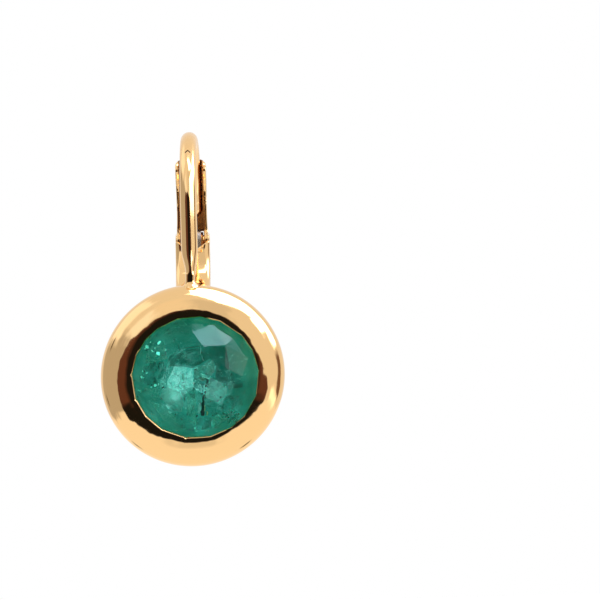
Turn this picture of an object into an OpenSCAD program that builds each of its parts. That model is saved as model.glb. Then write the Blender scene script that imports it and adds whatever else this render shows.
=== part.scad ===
// Lever-back drop earring with a round emerald in a domed bezel.
// Millimetres. +Z is up, the stone faces -Y, and the hook bends back towards +Y.
// The origin is the seat: the underside of the hook's arch, where it rests in the pierced lobe.

/* [Bezel] */
// Outer diameter of the domed bezel
bezel_d = 10.0; // [9:0.1:11]
// Depth of the bezel from the crest of its dome to its open back
bezel_depth = 3.9; // [3.8:0.1:4.4]
// Diameter of the opening that shows the stone
opening_d = 6.76; // [6.7:0.01:6.86]
// Height from the seat down to the centre of the stone
drop = 12.4; // [12.2:0.1:13.5]

/* [Emerald] */
// Diameter of the stone over the corners of its girdle
stone_d = 7.1; // [7.06:0.01:7.12]
// Height of the crown above the girdle
crown_h = 0.9; // [0.7:0.05:1.1]
// Depth of the pavilion below the girdle
pavilion_h = 2.95; // [2.9:0.05:3]
// How far the culet lies below the middle of the stone
culet_drop = 0.6; // [0.4:0.05:0.65]

/* [Hook] */
// Thickness of the round hook wire
wire_d = 0.9; // [0.8:0.05:1]
// Radius of the arch, to the middle of the wire
arch_r = 3.4; // [3.2:0.1:3.6]

/* [Lever] */
// Width of the lever over its two flanges
lever_w = 1.7; // [1.6:0.05:1.8]
// Thickness of a flange
flange_t = 0.22; // [0.2:0.01:0.25]
// Thickness of the lever's back wall
web_t = 0.25; // [0.2:0.01:0.3]
// Width of the hinge base
base_w = 1.9; // [1.8:0.02:2]

/* [Hidden] */

$fn = 96;
gold = [0.93, 0.70, 0.36];
green = [0.02, 0.55, 0.38];
steel = [0.72, 0.72, 0.74];
eps = 0.01;
beyond = 1;                       // how far a cut runs past what it cuts

// Wire and arch
wire_r = wire_d / 2;
arch_z = wire_r - arch_r;         // height of the arch's centre
leg_y = -arch_r;                  // the front leg's axis
leg_end = -5.6;                   // where the front leg starts to narrow
tip_length = 0.35;                // straight part of the tip, below the arch

// Bezel profile, as radius and height above the crest: three arcs that meet tangentially
bezel_r = bezel_d / 2;
opening_r = opening_d / 2;
lip_round = 0.13;
lip_low = -0.28;                  // lower edge of the lip's inner wall, from the crest
crest_r = opening_r + lip_round;
dome_r = 1.7;                     // arc from the crest to dome_turn
dome_turn = 45;
dome_end_r = crest_r + dome_r * sin(dome_turn);
rim_round = (bezel_r - dome_end_r) / (1 - sin(dome_turn));
rim_z = -dome_r * (1 - cos(dome_turn)) - rim_round * cos(dome_turn);
bowl_r = 4.0;                     // arc from the widest ring to the back
leg_inset = 1.3;                  // from the crest back to the front leg
crest_y = leg_y - leg_inset;

// Stone, as heights above the crest
stone_r = stone_d / 2;
girdle_top = -0.39;
girdle_h = 0.14;
table_share = 0.52;               // table corner radius over girdle radius
star_share = 0.71;                // star point radius over girdle radius
ridge_share = 0.64;               // height of the lower halves' points over the mains'
culet_side = -0.16;
// Depth below the girdle, and place, at which the main facets would meet
main_depth = 3.45;
main_side = -0.07;
main_drop = 0.3;
// Corners of the flatter tier that cuts the mains off: height over the mains', one for each edge
// between two mains, anticlockwise from the right
tier_shares = [0.44, 0.42, 0.21, 0.37, 0.39, 0.50, 0.44, 0.42];

// Seat for the stone
seat_r = stone_r + 0.05;
seat_drop = 0.65;                 // depth of the bearing below the groove
seat_w = 0.55;                    // width of the bearing
hole_r = seat_r - seat_w;
back_bevel = 0.3;

// Hinge
pin_y = 3.5;
pin_z = -5.0;
pin_r = 0.28;
pin_gap = 0.02;                   // between the pin and the tongue
run_gap = 0.03;                   // between the pin and the lever
head_r = 0.4;
head_t = 0.07;
tongue_r = 0.45;
tongue_w = 1.18;
tongue_root = 0.3;                // how deep the tongue reaches into the base
ear_r = 0.55;
ear_space = 0.09;                 // between the ears and the base
shoulder_z = pin_z - ear_r - ear_space;
cheek_slope = 34;                 // rise of the base's top from the middle out, before the ears

// Base: a rounded bar from the bezel's back, round a wide bend and up to the hinge
base_t = 1.3;
base_round = 0.3;
base_y = pin_y + tongue_r - base_t / 2;
base_bend = 3.2;                  // radius of the bend, to the middle of the bar
arm_rise = 3.95;                  // from the stone's centre up to the middle of the arm
arm_z = -drop + arm_rise;
arm_inset = 2.7;                  // from the crest back to the arm's start inside the bezel's wall
arm_start = crest_y + arm_inset;

// Spring: a steel strip set in the base and curled over the tongue
spring_t = 0.12;
spring_w = 0.94;
spring_in = tongue_r + 0.03;
spring_out = spring_in + spring_t;
spring_depth = 0.8;               // how deep the strip stands in the base
spring_foot = shoulder_z - spring_depth;
spring_end = 30;                  // angle above level at which the curl ends
slot_gap = 0.02;

// Lever
web_in = arch_r + wire_r + 0.07;
web_out = web_in + web_t;
flange_in = arch_r - 0.35;
web_foot = pin_z + 0.5;
reach = web_out + beyond;
lever_top = -0.53;
lever_round = 0.4;
cap_r = (web_out - flange_in) / 2;
cap_mid = (web_out + flange_in) / 2;
cap_turn = asin((lever_top - cap_r - arch_z) / cap_mid);

// Foot of the front leg: height, half width across and half width front to back
foot_rows = [
    [-5.40, 0.42, 0.42],
    [-5.60, 0.44, 0.44],
    [-5.90, 0.43, 0.46],
    [-6.20, 0.38, 0.47],
    [-6.50, 0.31, 0.49],
    [-6.80, 0.26, 0.50],
    [-7.05, 0.25, 0.51],
    [-7.25, 0.28, 0.54],
    [-7.40, 0.36, 0.58],
    [-7.55, 0.50, 0.62],
    [-7.80, 0.64, 0.62],
];
foot_sides = 32;

// Turns a shape made with its axis up and its front on top to face the viewer at the bezel
module to_bezel() {
    translate([0, crest_y, -drop]) rotate([90, 0, 0]) children();
}

// Extrudes a side outline, drawn as [y, z], to the width w across the earring
module across(w) {
    rotate([90, 0, 90]) translate([0, 0, -w / 2]) linear_extrude(w) children();
}

// Bezel

module bezel_outline() {
    overlap = 0.3;                // the upper pieces reach this far into the bowl
    low = rim_z - overlap;
    // Rounded lip beside the opening
    translate([crest_r, -lip_round]) circle(lip_round);
    translate([opening_r, low]) square([2 * lip_round, -lip_round - low]);
    // Dome
    intersection() {
        translate([crest_r, -dome_r]) circle(dome_r);
        translate([crest_r, low]) square([dome_end_r - crest_r, -low]);
    }
    // Rim
    translate([bezel_r - rim_round, rim_z]) circle(rim_round);
    // Bowl behind the widest ring
    intersection() {
        translate([bezel_r - bowl_r, rim_z]) circle(bowl_r);
        translate([hole_r, -bezel_depth]) square([bezel_r - hole_r, rim_z + bezel_depth]);
    }
}

// The hollow for the stone: groove under the lip, bearing and open back
module seat_outline() {
    groove_top = girdle_top - 0.01;
    groove_low = groove_top - girdle_h;
    polygon([
        [0, lip_low],
        [opening_r, lip_low],
        [seat_r, groove_top],
        [seat_r, groove_low],
        [hole_r, groove_low - seat_drop],
        [hole_r, back_bevel - bezel_depth],
        [hole_r + back_bevel, -bezel_depth],
        [hole_r + back_bevel, -bezel_depth - beyond],
        [0, -bezel_depth - beyond],
    ]);
}

module bezel() {
    to_bezel() rotate_extrude() difference() {
        bezel_outline();
        seat_outline();
    }
}

// Hook

function ring(row) = [
    for (k = [0 : foot_sides - 1])
        let (a = 360 * k / foot_sides)
        [row[1] * cos(a), leg_y + row[2] * sin(a), row[0]]
];

// Joins stacked rings, listed from the top down, into one closed solid
module loft(rings) {
    n = len(rings[0]);
    m = len(rings);
    points = [for (r = rings) each r];
    sides = [
        for (i = [0 : m - 2], k = [0 : n - 1])
            [i * n + k, i * n + (k + 1) % n, (i + 1) * n + (k + 1) % n, (i + 1) * n + k]
    ];
    top = [for (k = [0 : n - 1]) n - 1 - k];
    bottom = [for (k = [0 : n - 1]) (m - 1) * n + k];
    polyhedron(points, concat(sides, [top], [bottom]), convexity = 4);
}

module hook() {
    // Arch, with its straight, rounded tip behind
    translate([0, 0, arch_z]) rotate([90, 0, 90]) rotate_extrude(angle = 180)
        translate([arch_r, 0]) circle(wire_r, $fn = 64);
    translate([0, arch_r, arch_z - tip_length]) {
        cylinder(h = tip_length, r = wire_r, $fn = 64);
        sphere(wire_r, $fn = 64);
    }
    // Front leg down to the narrow foot on the bezel
    translate([0, leg_y, leg_end]) cylinder(h = arch_z - leg_end, r = wire_r, $fn = 64);
    loft([for (row = foot_rows) ring(row)]);
}

// Hinge base

module base_section() {
    in = base_round;
    square([base_w - 2 * in, base_t], center = true);
    square([base_w, base_t - 2 * in], center = true);
    for (sx = [-1, 1], sy = [-1, 1])
        translate([sx * (base_w / 2 - in), sy * (base_t / 2 - in)]) circle(in, $fn = 48);
}

module base_bar() {
    bend_y = base_y - base_bend;
    bend_z = arm_z + base_bend;
    // Arm out of the bezel's back
    translate([0, arm_start, arm_z]) rotate([-90, 0, 0])
        linear_extrude(bend_y - arm_start) base_section();
    // Bend
    translate([0, bend_y, bend_z]) rotate([90, 0, 90]) rotate_extrude(angle = -90)
        translate([base_bend, 0]) rotate(90) base_section();
    // Upright end
    translate([0, base_y, bend_z]) linear_extrude(pin_z - bend_z) base_section();
}

// What is cut off the bar's end: room for the ears, and a wide V that leaves low cheeks before them
module bar_end_cut() {
    across(base_w + beyond) {
        translate([pin_y, pin_z]) circle(ear_r + ear_space, $fn = 64);
        translate([pin_y, shoulder_z]) square([base_t, ear_r + ear_space]);
    }
    rise = base_w * tan(cheek_slope);
    rotate([90, 0, 0]) translate([0, 0, -base_y - base_t]) linear_extrude(2 * base_t)
        polygon([
            [0, shoulder_z],
            [base_w, shoulder_z + rise],
            [-base_w, shoulder_z + rise],
        ]);
}

module tongue() {
    across(tongue_w) {
        translate([pin_y, pin_z]) circle(tongue_r, $fn = 64);
        translate([pin_y - tongue_r, shoulder_z - tongue_root])
            square([2 * tongue_r, pin_z - shoulder_z + tongue_root]);
    }
}

module spring_slot() {
    translate([-spring_w / 2 - slot_gap, pin_y - spring_out - slot_gap, spring_foot - slot_gap])
        cube([spring_w + 2 * slot_gap, spring_t + 2 * slot_gap, pin_z - spring_foot + beyond]);
}

module setting() {
    color(gold) difference() {
        union() {
            bezel();
            hook();
            difference() {
                base_bar();
                bar_end_cut();
            }
            tongue();
        }
        spring_slot();
        across(tongue_w + beyond) translate([pin_y, pin_z]) circle(pin_r + pin_gap, $fn = 64);
    }
}

// Emerald, built above its own girdle plane with the table up

function polar(r, a, z) = [r * cos(a), r * sin(a), z];
culet = [culet_side, -culet_drop, -girdle_h - pavilion_h];
main_tip = [main_side, -main_drop, -girdle_h - main_depth];
kite_slope = crown_h / (stone_r * (1 - table_share));
star_z = kite_slope * (stone_r - stone_r * star_share * cos(22.5));

// Normal of the main pavilion facet that leaves the girdle at angle a
function main_normal(a) = cross(polar(1, a + 90, 0), polar(stone_r, a, -girdle_h) - main_tip);
// Point on the edge between two mains near angle a, at a share of their height
function main_edge(a, share) =
    let (d = cross(main_normal(a - 22.5), main_normal(a + 22.5)))
    main_tip + d * (share * main_depth / d.z);

module emerald() {
    table = [for (i = [0 : 7]) polar(stone_r * table_share, 22.5 + 45 * i, crown_h)];
    stars = [for (i = [0 : 7]) polar(stone_r * star_share, 45 * i, star_z)];
    upper = [for (j = [0 : 15]) polar(stone_r, 22.5 * j, 0)];
    lower = [for (j = [0 : 15]) polar(stone_r, 22.5 * j, -girdle_h)];
    ridges = [for (i = [0 : 7]) main_edge(45 * i, ridge_share)];
    tier = [for (i = [0 : 7]) main_edge(45 * i, tier_shares[i])];
    T = 0;
    S = 8;
    U = 16;
    L = 32;
    R = 48;
    P = 56;
    C = 64;
    faces = [
        [for (i = [0 : 7]) T + 7 - i],
        for (i = [0 : 7])
            let (next = (i + 1) % 8, mid = 2 * i + 1, after = (2 * i + 2) % 16)
            each [
                [T + i, S + next, U + mid, S + i],
                [T + i, T + next, S + next],
                [S + i, U + mid, U + 2 * i],
                [S + next, U + after, U + mid],
                [U + 2 * i, U + mid, L + mid, L + 2 * i],
                [U + mid, U + after, L + after, L + mid],
                [R + i, L + 2 * i, L + mid],
                [R + next, L + mid, L + after],
                [P + next, P + i, R + i, L + mid, R + next],
                [C, P + i, P + next],
            ],
    ];
    color(green) to_bezel() translate([0, 0, girdle_top])
        polyhedron(concat(table, stars, upper, lower, ridges, tier, [culet]), faces, convexity = 4);
}

// Lever: a channel that opens forward and takes in the tip of the hook

module lever_outline() {
    // Ears round the pin
    translate([pin_y, pin_z]) circle(ear_r, $fn = 64);
    polygon([
        [pin_y - ear_r, pin_z],
        [pin_y + ear_r, pin_z],
        [web_out, web_foot],
        [web_out, arch_z],
        [flange_in, arch_z],
        [flange_in, web_foot],
    ]);
    // Upper end, bent along the arch
    translate([0, arch_z]) {
        intersection() {
            difference() {
                circle(web_out);
                circle(flange_in);
            }
            polygon([[0, 0], [reach, 0], [reach, reach * tan(cap_turn)]]);
        }
        rotate(cap_turn) translate([cap_mid, 0]) circle(cap_r, $fn = 64);
    }
}

// What the hook's tip, the tongue and the spring need inside the lever
module lever_hollow() {
    translate([0, arch_z]) circle(web_in);
    translate([0, pin_z - beyond]) square([web_in, arch_z - pin_z + beyond]);
    translate([0, pin_z - beyond]) square([reach, web_foot - pin_z + beyond]);
}

module lever() {
    inner_w = lever_w - 2 * flange_t;
    top_w = lever_w - 2 * lever_round;
    color(gold) difference() {
        intersection() {
            across(lever_w) lever_outline();
            // Round shoulders, seen from the front
            rotate([90, 0, 0]) translate([0, 0, -reach]) linear_extrude(reach) {
                translate([-lever_w / 2, pin_z - beyond])
                    square([lever_w, lever_top - lever_round - pin_z + beyond]);
                translate([-top_w / 2, pin_z - beyond])
                    square([top_w, lever_top - pin_z + beyond + eps]);
                for (s = [-1, 1])
                    translate([s * top_w / 2, lever_top - lever_round]) circle(lever_round);
            }
        }
        across(inner_w) lever_hollow();
        across(lever_w + beyond) translate([pin_y, pin_z]) circle(pin_r + run_gap, $fn = 64);
    }
}

// Rivet through the ears and the tongue, with a low dome at each end
module hinge_pin() {
    face = lever_w / 2 + run_gap;
    dome = (head_r * head_r + head_t * head_t) / (2 * head_t);
    color(gold) translate([0, pin_y, pin_z]) rotate([0, 90, 0]) {
        cylinder(h = 2 * face + eps, r = pin_r, center = true, $fn = 64);
        for (s = [-1, 1])
            scale([1, 1, s]) intersection() {
                translate([0, 0, face + head_t - dome]) sphere(dome, $fn = 128);
                translate([0, 0, face]) cylinder(h = beyond, r = head_r, $fn = 64);
            }
    }
}

module hinge_spring() {
    color(steel) across(spring_w) translate([pin_y, pin_z]) {
        // Strip rising out of the slot
        translate([-spring_out, spring_foot - pin_z]) square([spring_t, pin_z - spring_foot]);
        // Curl over the tongue
        intersection() {
            difference() {
                circle(spring_out);
                circle(spring_in);
            }
            polygon([[0, 0], [-beyond, 0], [-beyond, beyond], [beyond / tan(spring_end), beyond]]);
        }
    }
}

setting();
emerald();
lever();
hinge_pin();
hinge_spring();
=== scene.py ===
"""Looks of the emerald earring: polished gold, a cut emerald and a soft white studio."""

import math
from itertools import accumulate

import bmesh
import bpy
import numpy as np
from mathutils import Matrix, Vector, noise


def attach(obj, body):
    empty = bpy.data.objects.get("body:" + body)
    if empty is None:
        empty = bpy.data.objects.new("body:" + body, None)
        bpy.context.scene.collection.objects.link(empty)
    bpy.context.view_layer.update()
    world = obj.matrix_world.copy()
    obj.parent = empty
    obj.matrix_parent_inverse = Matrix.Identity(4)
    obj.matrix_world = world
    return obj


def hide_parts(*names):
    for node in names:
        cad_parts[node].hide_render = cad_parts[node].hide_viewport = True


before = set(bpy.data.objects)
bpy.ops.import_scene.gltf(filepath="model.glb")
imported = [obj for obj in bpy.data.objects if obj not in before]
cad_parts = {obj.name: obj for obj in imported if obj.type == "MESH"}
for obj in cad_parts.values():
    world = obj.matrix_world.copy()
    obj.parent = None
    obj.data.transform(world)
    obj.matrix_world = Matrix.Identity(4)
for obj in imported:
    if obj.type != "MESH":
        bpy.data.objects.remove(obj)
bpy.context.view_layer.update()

MM = 0.001

# Sizes in millimetres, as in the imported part
BEZEL_R = 5.0
BEZEL_DEPTH = 3.9
WIRE_R = 0.45
ARCH_R = 3.4
ARCH_Z = WIRE_R - ARCH_R
BASE_W = 1.9
BASE_T = 1.3
BASE_ROUND = 0.3
BASE_BEND = 3.2
PIN_Y = 3.5
PIN_Z = -5.0
TONGUE_R = 0.45
TONGUE_W = 1.18
EAR_R = 0.55
EAR_SPACE = 0.09
LEVER_W = 1.7
FLANGE_T = 0.22
WEB_T = 0.25

# Front of the bezel, from the middle of the wire, and the middles of the bezel and the stone
LEG_INSET = 1.3
CREST_Y = -ARCH_R - LEG_INSET
BEZEL_Z = -12.4
STONE_X = 0.135
STONE_Z = BEZEL_Z - 0.11

# Emerald, with heights from its girdle
STONE_R = 3.55
CROWN_H = 1.05
EDGE_R = 3.09
EDGE_H = 0.3
GIRDLE_H = 0.14
GIRDLE_TOP = -0.54
TABLE_SHARE = 0.494
CROWN_SLOPE = (CROWN_H - EDGE_H) / (EDGE_R - STONE_R * TABLE_SHARE)
# Turns of the crown's corners round the stone in degrees, and how far out its star points lie
TABLE_TURNS = (18, 72, 117, 161, 206, 251, 296, 340)
STAR_TURNS = (0, 45, 91, 138, 183, 228, 273, 318)
KITE_TURNS = (19, 69, 115, 160, 205, 250, 295, 340)
STAR_SHARES = (0.73, 0.685, 0.7, 0.68, 0.68, 0.68, 0.68, 0.7)
RIDGE_SHARE = 0.64
# Where the main facets would meet, and the culet of the flatter tier that cuts them off
MAIN_TIP = Vector((-0.07, -0.3, -GIRDLE_H - 3.45))
CULET = Vector((-0.16, -0.6, -GIRDLE_H - 2.95))
TIER_SHARES = (0.44, 0.42, 0.21, 0.37, 0.39, 0.5, 0.44, 0.42)
# How much each facet of the tier is painted brighter, a painted light through it
TIER_PAINTED_LIGHT = (0.5, 0.6, 0.1, 0.4, 0.8, 0.5, 0.3, 0.5)


# Mesh helpers

def add_object(name, data):
    made = bpy.data.objects.new(name, data)
    bpy.context.scene.collection.objects.link(made)
    return made


def stand(thing, right, up, back, place):
    """Puts a thing at a place in metres, with its own axes along three directions."""
    thing.matrix_world = Matrix((*zip(right, up, back, place), (0, 0, 0, 1)))


def make_piece(name, points, faces, material, smooth=True, sharp_deg=None):
    """A mesh object from points in millimetres."""
    mesh = bpy.data.meshes.new(name)
    mesh.from_pydata([tuple(MM * c for c in p) for p in points], [], faces)
    mesh.validate()
    if smooth:
        mesh.shade_smooth()
    else:
        mesh.shade_flat()
    if sharp_deg is not None:
        mesh.set_sharp_from_angle(angle=math.radians(sharp_deg))
    mesh.materials.append(material)
    return add_object(name, mesh)


def loft(rings, closed=False):
    """Points and faces of a skin through rings of equal length.

    closed joins the last ring to the first. Otherwise both ends are capped.
    """
    n = len(rings[0])
    points = [p for ring in rings for p in ring]
    faces = []
    for i in range(len(rings) if closed else len(rings) - 1):
        a = i * n
        b = ((i + 1) % len(rings)) * n
        for k in range(n):
            m = (k + 1) % n
            faces.append((a + k, a + m, b + m, b + k))
    if not closed:
        faces.append(tuple(reversed(range(n))))
        faces.append(tuple(range(len(points) - n, len(points))))
    return points, faces


def join_parts(parts):
    """One list of points and one of faces from several (points, faces)."""
    points, faces = [], []
    for p, f in parts:
        start = len(points)
        points += p
        faces += [tuple(start + i for i in face) for face in f]
    return points, faces


def round_angles(sides):
    """Angles that divide a full turn evenly, in radians."""
    return [2 * math.pi * k / sides for k in range(sides)]


def arc(cx, cy, r, start, end, steps):
    """Points on an arc, both ends included, angles in degrees."""
    angles = np.radians(np.linspace(start, end, steps + 1))
    return [(cx + r * math.cos(a), cy + r * math.sin(a)) for a in angles]


def prism(outline, half):
    """A closed solid whose side outline (y, z) runs along X for half its width each way."""
    return loft([[(x, y, z) for y, z in outline] for x in (-half, half)])


def carved(name, material, block, edge, cuts=(), within=(), levels=(), reshape=None):
    """Cuts a closed solid, keeps what lies within others and rounds its edges.

    All of it is in millimetres, and edge is the rounding's width. The skin is divided at the
    heights in levels, where reshape may bend it.
    """
    helpers = []

    def add(form):
        mesh = bpy.data.meshes.new(name)
        form.to_mesh(mesh)
        form.free()
        helpers.append(add_object(name, mesh))
        return helpers[-1]

    def solid(points, faces):
        form = bmesh.new()
        corners = [form.verts.new(p) for p in points]
        for face in faces:
            form.faces.new([corners[i] for i in face])
        bmesh.ops.recalc_face_normals(form, faces=form.faces)
        return add(form)

    def applied(thing):
        graph = bpy.context.evaluated_depsgraph_get()
        return bpy.data.meshes.new_from_object(thing.evaluated_get(graph))

    body = solid(*block)
    for operation, others in (("DIFFERENCE", cuts), ("INTERSECT", within)):
        for other in others:
            step = body.modifiers.new(operation, "BOOLEAN")
            step.operation = operation
            step.solver = "EXACT"
            step.object = solid(*other)
    form = bmesh.new()
    form.from_mesh(applied(body))
    bmesh.ops.dissolve_limit(form, angle_limit=math.radians(0.5), verts=form.verts, edges=form.edges)
    for level in levels:
        everything = form.verts[:] + form.edges[:] + form.faces[:]
        bmesh.ops.bisect_plane(form, geom=everything, plane_co=(0, 0, level), plane_no=(0, 0, 1))
    if reshape:
        for corner in form.verts:
            corner.co = reshape(corner.co)
    bmesh.ops.dissolve_degenerate(form, dist=0.004, edges=form.edges)
    shaped = add(form)
    bevel = shaped.modifiers.new("edge", "BEVEL")
    bevel.width = edge
    bevel.segments = 3
    bevel.limit_method = "ANGLE"
    bevel.angle_limit = math.radians(35)
    bevel.use_clamp_overlap = False
    bevel.harden_normals = True
    mesh = applied(shaped)
    for helper in helpers:
        bpy.data.objects.remove(helper)
    mesh.shade_smooth()
    mesh.transform(Matrix.Scale(MM, 4))
    mesh.materials.clear()
    mesh.materials.append(material)
    return add_object(name, mesh)


# Materials

class Painter:
    """Builds shader nodes from plain calls."""

    def __init__(self, tree):
        self.tree = tree

    def node(self, kind, **values):
        made = self.tree.nodes.new(kind)
        for key, value in values.items():
            setattr(made, key, value)
        return made

    def feed(self, socket, value):
        if isinstance(value, (int, float, tuple)):
            socket.default_value = value
        else:
            self.tree.links.new(value, socket)

    def fill(self, node, **values):
        """Feeds the named sockets of a node, with an underscore for a space."""
        for socket, value in values.items():
            self.feed(node.inputs[socket.replace("_", " ")], value)
        return node

    def calc(self, op, a, b=0.0, c=0.0):
        made = self.node("ShaderNodeMath", operation=op)
        for socket, value in zip(made.inputs, (a, b, c)):
            self.feed(socket, value)
        return made.outputs[0]

    def ramp(self, value, low, high):
        """0 below low, 1 above high, smooth between."""
        made = self.node("ShaderNodeMapRange", interpolation_type="SMOOTHSTEP")
        return self.fill(made, Value=value, From_Min=low, From_Max=high).outputs["Result"]

    def band(self, value, low, high, soft):
        """1 between low and high."""
        rise = self.ramp(value, low - soft, low + soft)
        fall = self.ramp(value, high - soft, high + soft)
        return self.times(rise, self.calc("SUBTRACT", 1.0, fall))

    def times(self, a, b):
        return self.calc("MULTIPLY", a, b)

    def split(self, vector):
        made = self.node("ShaderNodeSeparateXYZ")
        self.tree.links.new(vector, made.inputs[0])
        return made.outputs

    def place(self, kind="Object"):
        return self.node("ShaderNodeTexCoord").outputs[kind]

    def noise(self, vector, scale, detail=2.0, roughness=0.5, distortion=0.0):
        made = self.fill(self.node("ShaderNodeTexNoise"), Vector=vector, Scale=scale, Detail=detail)
        return self.fill(made, Roughness=roughness, Distortion=distortion).outputs["Fac"]

    def attribute(self, name):
        return self.node("ShaderNodeAttribute", attribute_name=name).outputs

    def bump(self, shader, height, strength, distance):
        made = self.node("ShaderNodeBump")
        self.fill(made, Distance=distance, Strength=strength, Height=height)
        self.fill(shader, Normal=made.outputs["Normal"])

    def paint(self, under, over, share):
        """Colour under where share is 0, colour over where it is 1."""
        made = self.node("ShaderNodeMix", data_type="RGBA")
        return self.fill(made, Factor=share, A=under, B=over).outputs["Result"]

    def curve(self, value, points):
        """A smooth curve through points, with both value and result between 0 and 1."""
        made = self.node("ShaderNodeFloatCurve")
        line = made.mapping.curves[0]
        line.points[0].location = points[0]
        line.points[1].location = points[-1]
        for x, y in points[1:-1]:
            line.points.new(x, y)
        made.mapping.update()
        return self.fill(made, Value=value).outputs[0]


def principled(name, **values):
    """A material, a painter for its nodes, and its shader with the named sockets set."""
    material = bpy.data.materials.new(name)
    material.use_nodes = True
    art = Painter(material.node_tree)
    return material, art, art.fill(art.tree.nodes["Principled BSDF"], **values)


def even_material(name, colour, roughness, metallic=0.0):
    return principled(name, Base_Color=colour, Roughness=roughness, Metallic=metallic)[0]


GOLD_COLOUR = (0.93, 0.6, 0.275, 1.0)
# Dark brown, painted shade inside the lever's channel and on its tongue
PAINTED_SHADE_COLOUR = (0.42, 0.19, 0.06, 1.0)
# Near black, a painted reflection on the hook's arch
PAINTED_REFLECTION_COLOUR = (0.03, 0.015, 0.01, 1.0)
# Roughness of clean gold, what buffing marks, places painted dark and wear add to it, and the marks'
# depth
POLISH_ROUGH = 0.03
MARK_ROUGH = 0.07
DULL_ROUGH = 0.35
WORN_ROUGH = 0.16
MARK_DEPTH = 0.02
# How far the painted shade, darker and rougher gold, reaches past the walls of the lever's channel
PAINTED_SHADE_ACROSS = 0.05
PAINTED_SHADE_OUT = 0.12
# The dark chevron painted on the hook's arch as a painted reflection: its point, slope, and half its
# line's and own width
CHEVRON_X = 0.02
CHEVRON_Z = -0.16
CHEVRON_SLOPE = 0.9
CHEVRON_LINE = 0.035
CHEVRON_HALF = 0.15
# Heights between which the arch turns matt
WORN_FROM = -0.9
WORN_TO = -0.3


def gold_material(name, bump, scale, painted_dark=None, painted_dark_colour=PAINTED_SHADE_COLOUR, worn=None):
    """Polished yellow gold with faint buffing marks.

    The mask of dark places picks out what is painted dark and made rougher, painted shade in the
    lever's channel and a painted reflection on the hook, and worn what has gone matt.
    """
    material, art, shader = principled(name, Base_Color=GOLD_COLOUR, Metallic=1.0)
    place = art.place()
    marks = art.noise(place, scale, 4.0)
    rough = art.calc("MULTIPLY_ADD", marks, MARK_ROUGH, POLISH_ROUGH)
    if painted_dark:
        # Places painted dark, as painted shade and a painted reflection, are darker and rougher
        painted_dark_share = painted_dark(art, place)
        art.fill(shader, Base_Color=art.paint(GOLD_COLOUR, painted_dark_colour, painted_dark_share))
        rough = art.calc("MULTIPLY_ADD", painted_dark_share, DULL_ROUGH, rough)
    if worn:
        rough = art.calc("MULTIPLY_ADD", worn(art, place), WORN_ROUGH, rough)
    art.fill(shader, Roughness=rough)
    art.bump(shader, marks, bump, MARK_DEPTH * MM)
    return material


def channel_painted_shade(art, place):
    """1 on the inner walls of the lever's channel and on the tongue in it, where shade is painted."""
    x, y, z = art.split(place)
    rise = art.calc("MAXIMUM", art.calc("SUBTRACT", z, ARCH_Z * MM), 0.0)
    out = art.calc("SQRT", art.calc("ADD", art.times(y, y), art.times(rise, rise)))
    near = art.calc("LESS_THAN", art.calc("ABSOLUTE", x), (LEVER_W / 2 - FLANGE_T + PAINTED_SHADE_ACROSS) * MM)
    return art.times(near, art.calc("LESS_THAN", out, (ARCH_R + WIRE_R + PAINTED_SHADE_OUT) * MM))


def hook_painted_reflection(art, place):
    """1 on a small dark chevron at the front of the hook's arch, a painted reflection."""
    x, y, z = art.split(place)
    aside = art.calc("ABSOLUTE", art.calc("SUBTRACT", x, CHEVRON_X * MM))
    line = art.calc("MULTIPLY_ADD", aside, CHEVRON_SLOPE, art.calc("SUBTRACT", z, CHEVRON_Z * MM))
    inside = art.times(
        art.calc("LESS_THAN", art.calc("ABSOLUTE", line), CHEVRON_LINE * MM),
        art.calc("LESS_THAN", aside, CHEVRON_HALF * MM),
    )
    return art.times(inside, art.calc("LESS_THAN", y, 0.0))


def hook_top(art, place):
    """1 over the top of the arch, where the lobe rubs on it."""
    return art.ramp(art.split(place)[2], WORN_FROM * MM, WORN_TO * MM)


# Tints of the stone's surface: the crown, then the dark and pale mottles of plain lower facets and of
# lower facets painted brighter as painted light. Tints and densities per metre of what fills it
CROWN_TINT = (0.5, 0.95, 0.85, 1.0)
CLEAR_TINTS = ((0.08, 0.45, 0.38, 1.0), (0.62, 1.0, 0.92, 1.0))
PAINTED_LIGHT_TINTS = ((0.34, 0.84, 0.7, 1.0), (0.92, 1.0, 0.94, 1.0))
DEPTH_TINT = (0.0, 0.86, 0.79, 1.0)
DEPTH_DENSITY = 330.0
HAZE_TINT = (0.03, 0.9, 0.78, 1.0)
HAZE_DENSITY = 100.0
MOTTLE_DEPTH = 0.04


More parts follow.
